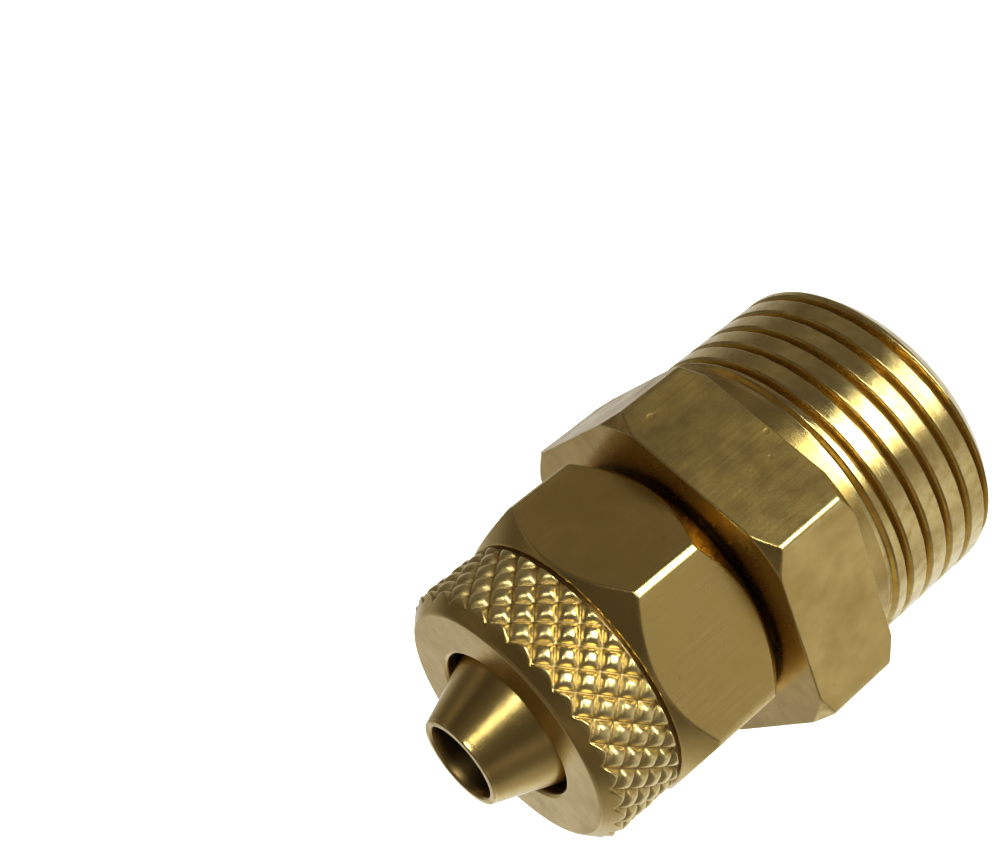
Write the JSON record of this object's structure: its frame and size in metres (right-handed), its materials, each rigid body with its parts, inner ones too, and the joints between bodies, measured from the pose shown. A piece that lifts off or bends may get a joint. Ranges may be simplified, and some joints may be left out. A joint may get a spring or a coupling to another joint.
{
  "type": "quick disconnect coupler",
  "caption": "Brass tube coupler with a male pipe thread, a hexagon body, a hollow conical spigot and a hexagon clamping nut with a knurled collar for a push-on tube.",
  "frame": {"origin": "centre of the face at the pipe-thread end, which the part stands on", "axes": "+Z along the axis, from the pipe thread to the tip of the spigot; +X through one corner of the body's hexagon"},
  "size_m": [0.025, 0.0216, 0.0353],
  "materials": {
    "body_brass": "turned and drawn brass, slightly tarnished",
    "nut_brass": "turned and knurled brass, slightly tarnished"
  },
  "bodies": {
    "body": {"fitting_body": "body_brass"},
    "nut": {"coupling_nut": "nut_brass"}
  },
  "joints": [
    {"name": "nut_slide", "type": "slide", "parent": "body", "child": "nut", "axis": [0, 0, 1], "range_m": [0, 0.022]}
  ]
}
